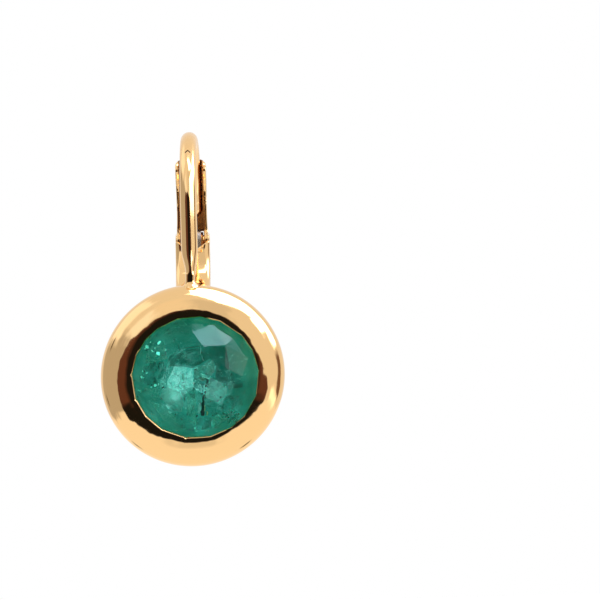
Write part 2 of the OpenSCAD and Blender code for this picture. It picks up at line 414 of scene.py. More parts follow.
def emerald_material():
    """Clear green stone, deeper in colour where it is thicker, and mottled inside its lower half."""
    material, art, shader = principled("emerald", Roughness=0.0, IOR=1.58, Transmission_Weight=1.0)
    place = art.place()
    below = art.calc("GREATER_THAN", art.split(place)[1], (CREST_Y - GIRDLE_TOP + GIRDLE_H) * MM)
    # Share of each lower facet painted brighter: painted light through it, over the stone's own mottle
    painted_light = art.attribute("painted_light")["Fac"]
    # Tint of each facet's reflection, with painted highlights on two kites and their upper halves
    art.fill(shader, Specular_Tint=art.attribute("painted_highlight_tint")["Color"])
    cloud = art.noise(place, 2600.0, 7.0, 0.72, 0.8)
    mottle = art.ramp(cloud, 0.4, 0.6)
    inner = art.paint(art.paint(*CLEAR_TINTS, mottle), art.paint(*PAINTED_LIGHT_TINTS, mottle), painted_light)
    art.fill(shader, Base_Color=art.paint(CROWN_TINT, inner, below))
    art.bump(shader, cloud, below, MOTTLE_DEPTH * MM)
    depth = art.node("ShaderNodeVolumeAbsorption")
    art.fill(depth, Color=DEPTH_TINT, Density=DEPTH_DENSITY)
    haze = art.node("ShaderNodeVolumeScatter")
    art.fill(haze, Color=HAZE_TINT, Density=HAZE_DENSITY, Anisotropy=0.5)
    both = art.node("ShaderNodeAddShader")
    art.feed(both.inputs[0], depth.outputs["Volume"])
    art.feed(both.inputs[1], haze.outputs["Volume"])
    art.fill(art.tree.nodes["Material Output"], Volume=both.outputs["Shader"])
    return material


def veil_material(name, colour, thin, dense, clear=0.0):
    """A cloudy flake that hides what is behind it by a share from thin to dense.

    clear is how much of the light from behind it lets through.
    """
    material, art, shader = principled(
        name, Base_Color=colour, Roughness=0.5, IOR=1.1, Transmission_Weight=clear,
    )
    share = art.ramp(art.noise(art.place(), 2000.0, 5.0, 0.62, 1.2), 0.36, 0.64)
    art.fill(shader, Alpha=art.calc("MULTIPLY_ADD", share, dense - thin, thin))
    return material


GOLD = gold_material("gold_polished", 0.15, 900.0)
# Hook gold with a painted dark reflection on its arch and a matt top
GOLD_HOOK = gold_material("gold_hook", 0.15, 900.0, hook_painted_reflection, PAINTED_REFLECTION_COLOUR, hook_top)
# Cast gold, with painted shade inside the lever's channel and on the tongue
GOLD_CAST = gold_material("gold_cast", 0.5, 2500.0, channel_painted_shade)
EMERALD = emerald_material()
STEEL = even_material("spring_steel", (0.36, 0.37, 0.4, 1.0), 0.3, 1.0)
MINERAL = even_material("inclusion_dark", (0.012, 0.03, 0.028, 1.0), 0.5)
MOSS = even_material("inclusion_green", (0.006, 0.14, 0.1, 1.0), 0.5)
FROST = even_material("inclusion_pale", (0.55, 1.0, 0.92, 1.0), 0.3)
SPARK = even_material("inclusion_bright", (0.3, 1.0, 0.85, 1.0), 0.35, 1.0)
SILK = even_material("inclusion_silk", (0.08, 0.6, 0.45, 1.0), 0.4)
RUST = even_material("inclusion_yellow", (0.8, 0.75, 0.35, 1.0), 0.4)
VEIL = veil_material("veil_pale", (0.85, 1.0, 0.95, 1.0), 0.3, 0.85, 0.85)
MIST = veil_material("veil_thin", (0.4, 1.0, 0.74, 1.0), 0.05, 0.34, 0.4)
# Dark sheets that paint shade inside the stone
SHADE = veil_material("painted_shade_sheet", (0.002, 0.09, 0.05, 1.0), 0.14, 0.42)
DUSK = veil_material("painted_shade_sheet_thin", (0.002, 0.09, 0.055, 1.0), 0.0, 0.3)


# Bezel

# Profile: the dome from its crest, the round rim and the bowl behind it, with heights from the crest
DOME_R = 1.8
CREST_R = 3.4
DOME_TURN = 45.0
DOME_END_R = CREST_R + DOME_R * math.sin(math.radians(DOME_TURN))
RIM_ROUND = (BEZEL_R - DOME_END_R) / (1 - math.sin(math.radians(DOME_TURN)))
DOME_COS = math.cos(math.radians(DOME_TURN))
RIM_Z = -DOME_R * (1 - DOME_COS) - RIM_ROUND * DOME_COS
BOWL_R = 4.0
HOLE_R = 3.05
BACK_BEVEL = 0.3
# Seat of the stone: its radius, the depth of its slope, its play and the wall above it
SEAT_R = 3.6
SEAT_DEPTH = 0.65
SEAT_PLAY = 0.01
SEAT_WALL = 0.15
BEZEL_SIDES = 480
DOME_STEPS = 40
ARC_STEPS = 24
RING_SQUASH = 0.986
RING_LEAN = 0.015
# Unevenness of the polished ring: how fine, and how high
WAVES = ((0.9, 0.012), (2.5, 0.004))

# The lip, pressed onto the stone in short straight strokes
LIP_ACROSS = 3.42
LIP_UP = 3.265
LIP_SHIFT = Vector((0.05, 0.03))
LIP_LOW = -0.28
LIP_CORNERS = (5, 25, 42, 66, 85, 106, 126, 140, 157, 176, 199, 218, 237, 260, 282, 302, 319, 341)
# The inner bevel: its narrowest width, what is added at its widest turn, and the nicks' turns,
# depth and half width in degrees
BEVEL_W = 0.035
BEVEL_MORE = 0.045
BEVEL_TURN = 225
LIP_NICKS = (176, 199, 260)
NICK_DEPTH = 0.07
NICK_HALF = 1.3
# The bevel's profile in shares of its width: out from the opening, and down from the dome
BEVEL_PROFILE = ((0.0, 0.9), (0.15, 0.75), (0.85, 0.08))


def dome_height(r):
    """Height of the dome over the crest plane at a distance from the bezel's axis."""
    return math.sqrt(max(DOME_R**2 - (r - CREST_R) ** 2, 0.0)) - DOME_R


def ring_place(x, y, z):
    """A point of the round bezel, as the real ring has it: a little low and leaning to the right."""
    return (x + RING_LEAN * z, y, BEZEL_Z + RING_SQUASH * z)


def opening_radius(angle):
    """Distance from the stone's axis to the lip: a many-sided figure on an oval."""

    def corner(deg):
        a = math.radians(deg)
        return LIP_SHIFT + Vector((LIP_ACROSS * math.cos(a), LIP_UP * math.sin(a)))

    corners = [corner(deg) for deg in LIP_CORNERS]
    way = Vector((math.cos(angle), math.sin(angle)))
    for a, b in zip(corners, corners[1:] + corners[:1]):
        if way.x * a.y - way.y * a.x <= 0 < way.x * b.y - way.y * b.x:
            chord = b - a
            return (a.x * chord.y - a.y * chord.x) / (way.x * chord.y - way.y * chord.x)
    raise ValueError("no lip at this angle")


def bevel_width(angle):
    """The lip's inner bevel is widest at the lower left and has a few nicks."""
    deg = math.degrees(angle) % 360
    width = BEVEL_W + BEVEL_MORE * max(math.cos(math.radians(deg - BEVEL_TURN)), 0.0)
    for nick in LIP_NICKS:
        width += NICK_DEPTH * max(1 - abs(deg - nick) / NICK_HALF, 0.0)
    return width


def bezel_column(angle):
    """Points from the seat over the lip, dome, rim and back into the hole, at one angle."""
    c, s = math.cos(angle), math.sin(angle)

    def from_stone(r, h):
        return (STONE_X + r * c, CREST_Y - h, STONE_Z + r * s)

    def from_bezel(r, h):
        return ring_place(r * c, CREST_Y - h, r * s)

    seat = GIRDLE_TOP - GIRDLE_H
    column = [from_stone(HOLE_R, seat - SEAT_DEPTH)]
    column += [from_stone(SEAT_R, seat - SEAT_PLAY), from_stone(SEAT_R, seat + SEAT_WALL)]
    open_r = opening_radius(angle)
    bevel = bevel_width(angle)
    lip_x = STONE_X + (open_r + bevel) * c
    lip_z = STONE_Z - BEZEL_Z + (open_r + bevel) * s
    top = dome_height(math.hypot(lip_x, lip_z))
    column.append(from_stone(open_r, LIP_LOW))
    for out, down in BEVEL_PROFILE:
        column.append(from_stone(open_r + out * bevel, top - down * bevel))
    lip_x, lip_z = lip_x - RING_LEAN * lip_z, lip_z / RING_SQUASH
    for i in range(DOME_STEPS + 1):
        t = i / DOME_STEPS
        x = lip_x + (DOME_END_R * c - lip_x) * t
        z = lip_z + (DOME_END_R * s - lip_z) * t
        column.append(ring_place(x, CREST_Y - dome_height(math.hypot(x, z)), z))
    back_turn = math.degrees(math.asin((BEZEL_DEPTH + RIM_Z) / BOWL_R))
    rim = arc(BEZEL_R - RIM_ROUND, RIM_Z, RIM_ROUND, 90 - DOME_TURN, 0, ARC_STEPS)
    bowl = arc(BEZEL_R - BOWL_R, RIM_Z, BOWL_R, 0, -back_turn, ARC_STEPS)
    column += [from_bezel(r, h) for r, h in rim[1:] + bowl[1:]]
    column.append(from_stone(HOLE_R + BACK_BEVEL, -BEZEL_DEPTH))
    column.append(from_stone(HOLE_R, BACK_BEVEL - BEZEL_DEPTH))
    return column


def bezel():
    points, faces = loft([bezel_column(a) for a in round_angles(BEZEL_SIDES)], closed=True)
    soft = []
    for x, y, z in points:
        wave = sum(noise.noise(Vector((x, y, z)) * fine) * high for fine, high in WAVES)
        soft.append((x, y + wave, z))
    return make_piece("bezel", soft, faces, GOLD, sharp_deg=40)


# Hook

FOOT_ROWS = (
    # height, place across, half width across, half width front to back, squareness
    (-7.8, 0.04, 0.66, 0.64, 1.0),
    (-7.6, 0.05, 0.54, 0.6, 1.0),
    (-7.42, 0.02, 0.34, 0.5, 0.6),
    (-7.3, 0.0, 0.27, 0.47, 0.45),
    (-7.1, 0.0, 0.26, 0.47, 0.45),
    (-6.92, 0.01, 0.27, 0.47, 0.5),
    (-6.75, 0.03, 0.29, 0.48, 0.9),
    (-6.5, 0.03, 0.32, 0.48, 1.0),
    (-6.2, 0.02, 0.37, 0.47, 1.0),
    (-5.9, 0.0, 0.42, 0.46, 1.0),
    (-5.6, 0.0, 0.45, 0.45, 1.0),
)
TIP_LENGTH = 0.35
# How far the back of the arch is bent to the right
BACK_SHIFT = 0.1


def smooth_rows(rows, steps):
    """Rows between the given ones, on a smooth curve through them."""
    rows = np.array(rows)
    padded = np.vstack([2 * rows[0] - rows[1], rows, 2 * rows[-1] - rows[-2]])
    out = []
    for i in range(1, len(rows)):
        p0, p1, p2, p3 = padded[i - 1 : i + 3]
        for k in range(steps):
            t = k / steps
            out.append(0.5 * (2 * p1 + (p2 - p0) * t + (2 * p0 - 5 * p1 + 4 * p2 - p3) * t**2
                              + (3 * p1 - p0 - 3 * p2 + p3) * t**3))
    out.append(rows[-1])
    return out


def hook():
    """The foot on the bezel, the straight leg, the arch and the rounded tip."""
    turns = round_angles(64)
    rings = []
    for z, x, across, along, power in smooth_rows(FOOT_ROWS, 8):
        rings.append([
            (x + across * math.copysign(abs(math.cos(a)) ** power, math.cos(a)),
             -ARCH_R + along * math.copysign(abs(math.sin(a)) ** power, math.sin(a)), z)
            for a in turns
        ])
    for z in np.linspace(FOOT_ROWS[-1][0], ARCH_Z, 30)[1:]:
        rings.append([(WIRE_R * math.cos(a), -ARCH_R + WIRE_R * math.sin(a), z) for a in turns])
    for bend in np.radians(np.linspace(180, 0, 120))[1:]:
        out_y, out_z = math.cos(bend), math.sin(bend)
        shift = BACK_SHIFT * (1 + out_y) / 2
        ring = []
        for a in turns:
            r = ARCH_R - WIRE_R * math.sin(a)
            ring.append((shift + WIRE_R * math.cos(a), r * out_y, ARCH_Z + r * out_z))
        rings.append(ring)
    for lift in np.radians(np.linspace(0, 90, 16))[1:-1]:
        r = WIRE_R * math.cos(lift)
        low = ARCH_Z - TIP_LENGTH - WIRE_R * math.sin(lift)
        rings.append([(BACK_SHIFT + r * math.cos(a), ARCH_R - r * math.sin(a), low) for a in turns])
    return make_piece("hook_wire", *loft(rings), GOLD_HOOK, sharp_deg=60)


# Hinge base

SHOULDER_Z = PIN_Z - EAR_R - EAR_SPACE
CHEEK_SLOPE = math.tan(math.radians(34))
BASE_Y = PIN_Y + TONGUE_R - BASE_T / 2
ARM_RISE = 3.3
ARM_Z = BEZEL_Z + ARM_RISE + BASE_T / 2
ARM_START = CREST_Y + 2.7
TONGUE_SUNK = 0.3
SPRING_IN = TONGUE_R + 0.03
SPRING_OUT = TONGUE_R + 0.15
SPRING_W = 0.94
SPRING_SUNK = 0.8
SLOT_GAP = 0.02
# How far a cut runs past what it cuts
BEYOND = 1.0


def bar_section():
    """Rounded section of the base bar: (across, thickness)."""
    w, t, r = BASE_W / 2 - BASE_ROUND, BASE_T / 2 - BASE_ROUND, BASE_ROUND
    outline = []
    for cx, cy, start in ((w, t, 0), (-w, t, 90), (-w, -t, 180), (w, -t, 270)):
        outline += arc(cx, cy, r, start, start + 90, 6)
    return outline


def base_bar():
    """The arm behind the bezel, the bend and the post, as a solid without its cuts."""
    section = bar_section()
    bend_y = BASE_Y - BASE_BEND
    bend_z = ARM_Z + BASE_BEND
    rings = []
    for y in np.linspace(ARM_START, bend_y, 6)[:-1]:
        rings.append([(u, y, ARM_Z - v) for u, v in section])
    for a in np.radians(np.linspace(0, 90, 48)):
        rings.append([
            (u, bend_y + (BASE_BEND + v) * math.sin(a), bend_z - (BASE_BEND + v) * math.cos(a))
            for u, v in section
        ])
    rings.append([(u, BASE_Y + v, PIN_Z) for u, v in section])
    return loft(rings)


def base():
    """The bar with its end cut to a wide V before the ears, and the tongue that stands in it."""
    foot = SHOULDER_Z - TONGUE_SUNK
    tongue = arc(PIN_Y, PIN_Z, TONGUE_R, 0, 180, ARC_STEPS)
    tongue += [(PIN_Y - TONGUE_R, foot), (PIN_Y + TONGUE_R, foot)]
    room_r = EAR_R + EAR_SPACE
    top = PIN_Z + BEYOND / 2
    ear_room = arc(PIN_Y, PIN_Z, room_r, 180, 270, 16)
    ear_room += [(PIN_Y + BASE_T, SHOULDER_Z), (PIN_Y + BASE_T, top), (PIN_Y - room_r, top)]
    wide = BASE_W / 2 + BEYOND / 2
    rise = SHOULDER_Z + CHEEK_SLOPE * wide
    top = PIN_Z + BEYOND
    notch = [
        [(0, y, SHOULDER_Z), (wide, y, rise), (wide, y, top), (-wide, y, top), (-wide, y, rise)]
        for y in (BASE_Y - BASE_T, BASE_Y + BASE_T)
    ]
    half = SPRING_W / 2 + SLOT_GAP
    low = SHOULDER_Z - SPRING_SUNK
    slot = [
        [(-half, y, low), (half, y, low), (half, y, PIN_Z), (-half, y, PIN_Z)]
        for y in (PIN_Y - SPRING_OUT - SLOT_GAP, PIN_Y - TONGUE_R - SLOT_GAP / 2)
    ]
    cuts = [prism(ear_room, wide), loft(notch), loft(slot)]
    bar = carved("hinge_base", GOLD, base_bar(), 0.05, cuts)
    post = carved("hinge_tongue", GOLD_CAST, prism(tongue, TONGUE_W / 2), 0.04)
    return [bar, post]


# Lever

# The back wall's inner face clears the wire by a little
WEB_IN = ARCH_R + WIRE_R + 0.07
WEB_OUT = WEB_IN + WEB_T
FLANGE_IN = ARCH_R - 0.35
WEB_FOOT = PIN_Z + 0.5
LEVER_TOP = -0.53
LEVER_ROUND = 0.4
CAP_R = (WEB_OUT - FLANGE_IN) / 2
CAP_MID = (WEB_OUT + FLANGE_IN) / 2
CAP_TURN = math.degrees(math.asin((LEVER_TOP - CAP_R - ARCH_Z) / CAP_MID))
# Width of the lever as a share of LEVER_W, by height
LEVER_SPREAD = (
    (-5.6, 1.02), (-5.0, 1.02), (-4.5, 1.0), (-4.0, 0.975), (-3.4, 0.965), (-2.6, 0.975),
    (-1.6, 0.99), (-0.5, 0.99),
)


def lever_outline():
    """Side outline (y, z): ears round the pin, straight foot, and the end bent along the arch."""
    outline = arc(PIN_Y, PIN_Z, EAR_R, 180, 360, ARC_STEPS)
    outline.append((WEB_OUT, WEB_FOOT))
    outline += arc(0, ARCH_Z, WEB_OUT, 0, CAP_TURN, 20)
    cap = math.radians(CAP_TURN)
    cap_y, cap_z = CAP_MID * math.cos(cap), ARCH_Z + CAP_MID * math.sin(cap)
    outline += arc(cap_y, cap_z, CAP_R, CAP_TURN, CAP_TURN + 180, 20)[1:-1]
    outline += arc(0, ARCH_Z, FLANGE_IN, CAP_TURN, 0, 20)
    outline.append((FLANGE_IN, WEB_FOOT))
    return outline


def lever():
    """A channel with rounded shoulders, a little wider at its ears than in the middle."""
    low = PIN_Z - BEYOND
    back = WEB_OUT + BEYOND
    hollow = [(0, low), (back, low), (back, WEB_FOOT), (WEB_IN, WEB_FOOT)]
    hollow += arc(0, ARCH_Z, WEB_IN, 0, 90, 40)
    inner = LEVER_W / 2 - FLANGE_T
    half = LEVER_W / 2
    front = [(-half, low), (half, low)]
    front += arc(half - LEVER_ROUND, LEVER_TOP - LEVER_ROUND, LEVER_ROUND, 0, 90, 12)
    front += arc(LEVER_ROUND - half, LEVER_TOP - LEVER_ROUND, LEVER_ROUND, 90, 180, 12)
    shoulders = loft([[(x, y, z) for x, z in front] for y in (0, back)])
    spread = smooth_rows(LEVER_SPREAD, 6)
    heights = [row[0] for row in spread]
    factors = [row[1] for row in spread]

    def widen(p):
        return (p.x * float(np.interp(p.z, heights, factors)), p.y, p.z)

    return carved(
        "lever_channel", GOLD_CAST, prism(lever_outline(), half), 0.045,
        cuts=[prism(hollow, inner)], within=[shoulders], levels=heights[2:-2:2], reshape=widen,
    )


# Pin and spring

PIN_R = 0.28
HEAD_R = 0.4
HEAD_T = 0.06
HEAD_GAP = 0.03


def hinge_pin():
    """A rivet with low domed heads."""
    half = LEVER_W / 2 * LEVER_SPREAD[0][1] + HEAD_GAP
    # The middle of a head is a very small ring
    side = [(0.001, half + HEAD_T)]
    for a in np.radians(np.linspace(8, 86, 10)):
        side.append((HEAD_R * math.sin(a), half + HEAD_T * math.cos(a)))
    side += [(HEAD_R, half), (PIN_R, half)]
    outline = side + [(r, -x) for r, x in reversed(side)]
    turns = round_angles(48)
    rings = [[(x, PIN_Y + r * math.cos(a), PIN_Z + r * math.sin(a)) for a in turns] for r, x in outline]
    return make_piece("rivet", *loft(rings), GOLD, sharp_deg=40)


def spring():
    """A steel strip that rises from the base and curls over the tongue."""
    foot = SHOULDER_Z - SPRING_SUNK
    outline = arc(PIN_Y, PIN_Z, SPRING_OUT, 30, 180, ARC_STEPS)
    outline += [(PIN_Y - SPRING_OUT, foot), (PIN_Y - SPRING_IN, foot)]
    outline += arc(PIN_Y, PIN_Z, SPRING_IN, 180, 30, ARC_STEPS)
    return make_piece("spring_strip", *prism(outline, SPRING_W / 2), STEEL, sharp_deg=30)


# Emerald

# Tint of what each facet of the crown mirrors. Two kites, each with an upper half, are given a brighter
# tint,
# a painted highlight: the numbers are the eighth of the stone and the facet in it
PLAIN_REFLECTION_TINT = (0.08, 0.15, 0.16, 1.0)
PAINTED_HIGHLIGHTS = {
    (1, 0): (0.48, 0.8, 0.87, 1.0),
    (1, 2): (0.64, 1.0, 1.0, 1.0),
    (0, 0): (0.95, 0.85, 1.0, 1.0),
    (0, 3): (0.14, 0.16, 0.2, 1.0),
}


def emerald():
    """Round cut with a table, stars, kites and a steep edge over mains and a flatter tier."""

    def polar(r, deg, z):
        a = math.radians(deg)
        return Vector((r * math.cos(a), r * math.sin(a), z))

    table = [polar(STONE_R * TABLE_SHARE, turn, CROWN_H) for turn in TABLE_TURNS]
    stars, edge = [], []
    for star_turn, kite_turn, share in zip(STAR_TURNS, KITE_TURNS, STAR_SHARES):
        star_r = STONE_R * share
        star_h = EDGE_H + CROWN_SLOPE * (EDGE_R - star_r * math.cos(math.radians(22.5)))
        stars.append(polar(star_r, star_turn, star_h))
        edge += [polar(EDGE_R, star_turn, EDGE_H), polar(EDGE_R, kite_turn, EDGE_H)]
    upper = [polar(STONE_R, 22.5 * j, 0) for j in range(16)]
    lower = [polar(STONE_R, 22.5 * j, -GIRDLE_H) for j in range(16)]

    def main_normal(deg):
        return polar(1, deg + 90, 0).cross(polar(STONE_R, deg, -GIRDLE_H) - MAIN_TIP)

    ridges, tier = [], []
    depth = -GIRDLE_H - MAIN_TIP.z
    for i in range(8):
        d = main_normal(45 * i - 22.5).cross(main_normal(45 * i + 22.5))
        ridges.append(MAIN_TIP + d * (RIDGE_SHARE * depth / d.z))
        tier.append(MAIN_TIP + d * (TIER_SHARES[i] * depth / d.z))
    groups = (table, stars, edge, upper, lower, ridges, tier)
    # Where each group of corners starts, in that order, and last the culet
    t, s, e, u, w, r, p, c = accumulate((len(group) for group in groups), initial=0)
    faces = [tuple(range(len(table)))]
    for j in range(16):
        k = (j + 1) % 16
        faces += [(u + j, u + k, e + k, e + j), (w + j, w + k, u + k, u + j)]
    first = len(faces)
    for i in range(8):
        n, mid, after = (i + 1) % 8, 2 * i + 1, (2 * i + 2) % 16
        faces += [
            (s + i, e + mid, s + n, t + i),
            (s + n, t + n, t + i),
            (e + 2 * i, e + mid, s + i),
            (e + mid, e + after, s + n),
            (w + mid, w + 2 * i, r + i),
            (w + after, w + mid, r + n),
            (r + n, w + mid, r + i, p + i, p + n),
            (p + n, p + i, c),
        ]
    points = [in_stone(q) for group in groups for q in group] + [in_stone(CULET)]
    stone = make_piece("emerald_cut", points, faces, EMERALD, smooth=False)
    # Reflection tint of each facet, with painted highlights on two kites
    stone.data.attributes.new("painted_highlight_tint", "FLOAT_COLOR", "FACE")
    # Share of each facet painted brighter, as painted light through the tier
    stone.data.attributes.new("painted_light", "FLOAT", "FACE")
    painted_highlight_tint = stone.data.attributes["painted_highlight_tint"].data
    painted_light = stone.data.attributes["painted_light"].data
    for entry in painted_highlight_tint:
        entry.color = PLAIN_REFLECTION_TINT
    for (i, kind), colour in PAINTED_HIGHLIGHTS.items():
        painted_highlight_tint[first + 8 * i + kind].color = colour
    for i, value in enumerate(TIER_PAINTED_LIGHT):
        painted_light[first + 8 * i + 7].value = value
    return stone


def in_stone(q):
    """A point given across, up and above the girdle, in the earring's frame."""
    return (STONE_X + q[0], CREST_Y - GIRDLE_TOP - q[2], STONE_Z + q[1])


# Inclusions: place across and up from the stone's middle, length, width, lean from upright
# (clockwise, in degrees) and depth below the crown's surface
DARK_INCLUSIONS = (
    # The needle, in three lengths
    (0.445, -1.12, 0.38, 0.13, 0, 0.55),
    (0.42, -1.45, 0.5, 0.18, 6, 0.55),
    (0.36, -1.8, 0.46, 0.22, 3, 0.55),
    # Crystals round its head
    (0.68, -0.25, 0.34, 0.13, 12, 0.6),
    (0.6, -0.43, 0.2, 0.16, 40, 0.6),
    (0.98, -0.65, 0.16, 0.12, 80, 0.6),
    (0.55, -0.79, 0.14, 0.1, 30, 0.6),
    (0.36, -0.86, 0.14, 0.09, 70, 0.6),
    (1.33, -1.03, 0.13, 0.12, 0, 0.6),
    # Specks
    (0.07, -2.02, 0.14, 0.13, 0, 0.35),
    (-0.75, -2.15, 0.12, 0.1, 20, 0.35),
    (-0.57, -1.11, 0.22, 0.07, 0, 0.5),
    (-1.31, -1.27, 0.12, 0.06, 60, 0.5),
    (-1.66, -0.47, 0.18, 0.1, 50, 0.4),
    (0.44, 1.02, 0.16, 0.07, 25, 0.6),
)
PALE_INCLUSIONS = (
    # Streaks in the middle
    (-0.63, 0.06, 0.46, 0.14, -5, 0.5),
    (-0.57, -0.47, 0.26, 0.08, 0, 0.5),
    (-0.06, -0.29, 0.14, 0.08, 0, 0.5),
    (0.21, -1.62, 0.62, 0.2, 8, 0.6),
    (0.37, 1.45, 0.42, 0.035, 6, 0.5),
    (0.46, 1.05, 0.34, 0.035, -22, 0.5),
)
# Small sharp glints at the upper left, on the left and at the foot
SPARKS = (
    (-2.52, 1.72, 0.26, 0.2, 15, 0.2),
    (-2.47, 1.66, 0.22, 0.08, -60, 0.25),
    (-2.61, 1.61, 0.13, 0.07, 80, 0.25),
    (-1.86, 1.88, 0.28, 0.15, 50, 0.2),
    (-1.78, 1.94, 0.15, 0.1, -30, 0.25),
    (-1.9, 1.36, 0.24, 0.2, 20, 0.2),
    (-1.84, 1.29, 0.17, 0.1, -50, 0.25),
    (-2.2, 1.48, 0.26, 0.04, -48, 0.25),
    (-2.05, 1.62, 0.1, 0.04, 30, 0.25),
    (-1.5, 1.52, 0.14, 0.04, 60, 0.25),
    (-2.3, 1.95, 0.12, 0.04, 40, 0.25),
)
SIDE_SPARKS = (
    (-2.76, 0.42, 0.12, 0.05, 20, 0.2),
    (-2.83, 0.1, 0.2, 0.11, -40, 0.2),
    (-2.7, 0.06, 0.08, 0.05, 30, 0.2),
    (-2.1, -0.34, 0.22, 0.15, 50, 0.2),
    (-2.3, -0.42, 0.14, 0.06, 60, 0.25),
    (-1.93, -0.28, 0.12, 0.05, 20, 0.25),
    (-2.98, -0.6, 0.28, 0.12, -70, 0.2),
    (-2.9, -0.68, 0.11, 0.05, 20, 0.2),
    (-2.52, 0.3, 0.14, 0.05, 60, 0.25),
)
LOW_SPARKS = (
    (-0.06, -2.66, 0.17, 0.12, 50, 0.25),
    (0.02, -2.6, 0.1, 0.05, -30, 0.25),
    (0.04, -2.81, 0.18, 0.03, 70, 0.25),
    (1.22, -2.02, 0.3, 0.03, -50, 0.3),
    (0.84, -2.4, 0.5, 0.04, 0, 0.3),
)
YELLOW_INCLUSIONS = (
    (0.5, -1.62, 0.34, 0.05, 5, 0.55),
    (0.57, -1.84, 0.3, 0.1, 3, 0.55),
)
# Flat flakes, pale and thin pale, then dark sheets and thin dark sheets of painted shade: depth below
# the table, corners across and up, and lean where the flake has one
VEILS = (
    (0.48, (
        (-1.9, -0.96), (-1.5, -0.44), (-0.84, -0.74), (-0.64, -1.3), (-0.7, -1.74), (-1.09, -1.72),
    ), (-0.09, -0.16)),
    (0.56, (
        (0.89, -0.02), (1.38, -0.3), (1.64, -0.59), (1.6, -0.89), (1.16, -1.3), (0.59, -1.1),
        (0.66, -0.62),
    ), (0.05, -0.17)),
)
MISTS = (
    (0.66, (
        (-0.04, 0.46), (0.86, 0.95), (1.04, 0.84), (1.11, 0.6), (1.06, 0.19), (0.39, -0.22),
        (-0.02, -0.08),
    )),
    (0.8, ((-0.46, -0.5), (0.02, -0.4), (0.08, -2.3), (-0.1, -2.5), (-0.42, -2.2))),
    (0.95, ((0.86, -2.06), (1.45, -1.75), (2.05, -1.95), (1.02, -2.62))),
    (0.95, ((-2.45, 1.62), (-1.5, 1.72), (-1.35, 0.98), (-2.6, 0.76))),
    (0.98, ((-2.7, -0.45), (-1.95, -0.42), (-1.75, -0.95), (-2.5, -0.9))),
    (0.97, ((-2.35, -1.2), (-1.75, -1.3), (-1.05, -2.0), (-0.9, -2.55), (-1.7, -2.2))),
)
# Dark sheets of painted shade
SHADES = (
    (0.9, (
        (1.62, 1.6), (0.5, 1.64), (-0.42, 1.55), (-1.25, 1.15), (-1.4, 0.66), (-0.62, 0.62),
        (-0.1, 0.52), (0.86, 1.02), (1.18, 0.64), (1.12, 0.05), (1.3, -0.42), (1.75, -0.15),
        (1.75, 0.55),
    )),
)
# Thinner dark sheets of painted shade
DUSKS = (
    (0.98, ((-2.66, 0.66), (-2.2, 0.8), (-1.56, 0.86), (-1.5, -0.2), (-2.0, -0.42), (-2.66, -0.25))),
    (0.94, ((1.2, -0.1), (1.68, 0.45), (2.45, 0.0), (2.5, -0.55), (1.75, -0.6), (1.42, -0.28))),
    (0.96, ((1.2, -1.34), (1.68, -0.92), (2.3, -1.0), (1.9, -1.7), (1.1, -1.6))),
    (0.92, ((0.04, -2.04), (0.79, -2.02), (0.79, -2.72), (0.04, -2.76))),
    (0.4, ((-0.82, -0.66), (-0.02, -0.46), (0.0, -1.14), (-0.64, -1.1))),
)
VEIL_T = 0.012
# A burst of fine feathers at the lower right: its middle, their number, and how long, wide and deep
# they are, how far their length and lean vary and how far from the middle they start
FEATHERS_AT = (1.86, -2.02)
FEATHERS = 13
FEATHER_L = 0.3
FEATHER_W = 0.075
FEATHER_DEPTH = 0.3
FEATHER_VARY = 0.12
FEATHER_STRAY = 9
FEATHER_GAP = 0.12
# Fine silk scattered through the whole stone, out to a radius, and deeper near its middle
SILK_COUNT = 300
SILK_R = 2.9
SILK_LENGTHS = (0.06, 0.34)
SILK_WIDTHS = (0.014, 0.045)
SILK_DEPTH = 0.2
SILK_DEEPER = 0.5
# Side to side unevenness of a crystal as a share of its width
WOBBLE = 0.35
# Share of its width at which the crown is taken, so that what lies under it stays clear of its skin
CROWN_SHARE = 0.98


def crown_height(x, z):
    """Height of the crown over the girdle at a place in the stone."""
    return min(CROWN_H, EDGE_H + CROWN_SLOPE * (CROWN_SHARE * EDGE_R - math.hypot(x, z)))


def shard(x, z, length, width, lean, depth, sides=5, rings=6, flat=0.5, lean_to=(0.0, 0.0)):
    """A small uneven crystal, thickest in its middle.

    flat is its thickness over its width, and lean_to the way its face leans, across and up.
    """
    turn = math.radians(lean)
    along = Vector((math.sin(turn), math.cos(turn)))
    side = Vector((along.y, -along.x))
    skin = []
    for i in range(rings):
        t = (i + 0.5) / rings * 2 - 1
        half = width / 2 * math.sqrt(1 - t * t)
        wobble = noise.noise_vector(Vector((x * 7 + t * 2, z * 7, lean))) * width * WOBBLE
        mid = Vector((x, z)) + along * (t * length / 2) + side * wobble.x
        ring = []
        for a in round_angles(sides):
            across = mid + side * (half * math.cos(a))
            sink = lean_to[0] * (across.x - x) + lean_to[1] * (across.y - z) - flat * half * math.sin(a)
            ring.append(in_stone((across.x, across.y, crown_height(x, z) - depth - sink)))
        skin.append(ring)
    return loft(skin)


def glint(across, up):
    """The form of a thin bright flake, and the way it leans to catch the light."""
    return {"sides": 4, "rings": 3, "flat": 0.08, "lean_to": (across, up)}


def veil(depth, corners, lean_to=(0.0, 0.0)):
    """A thin flat flake inside the stone. lean_to is the way it leans, across and up."""
    mid = sum((Vector(c) for c in corners), Vector((0, 0))) / len(corners)
    skins = []
    for low in (depth, depth + VEIL_T):
        skin = []
        for x, z in corners:
            sink = low + lean_to[0] * (x - mid.x) + lean_to[1] * (z - mid.y)
            skin.append(in_stone((x, z, CROWN_H - sink)))
        skins.append(skin)
    return loft(skins)


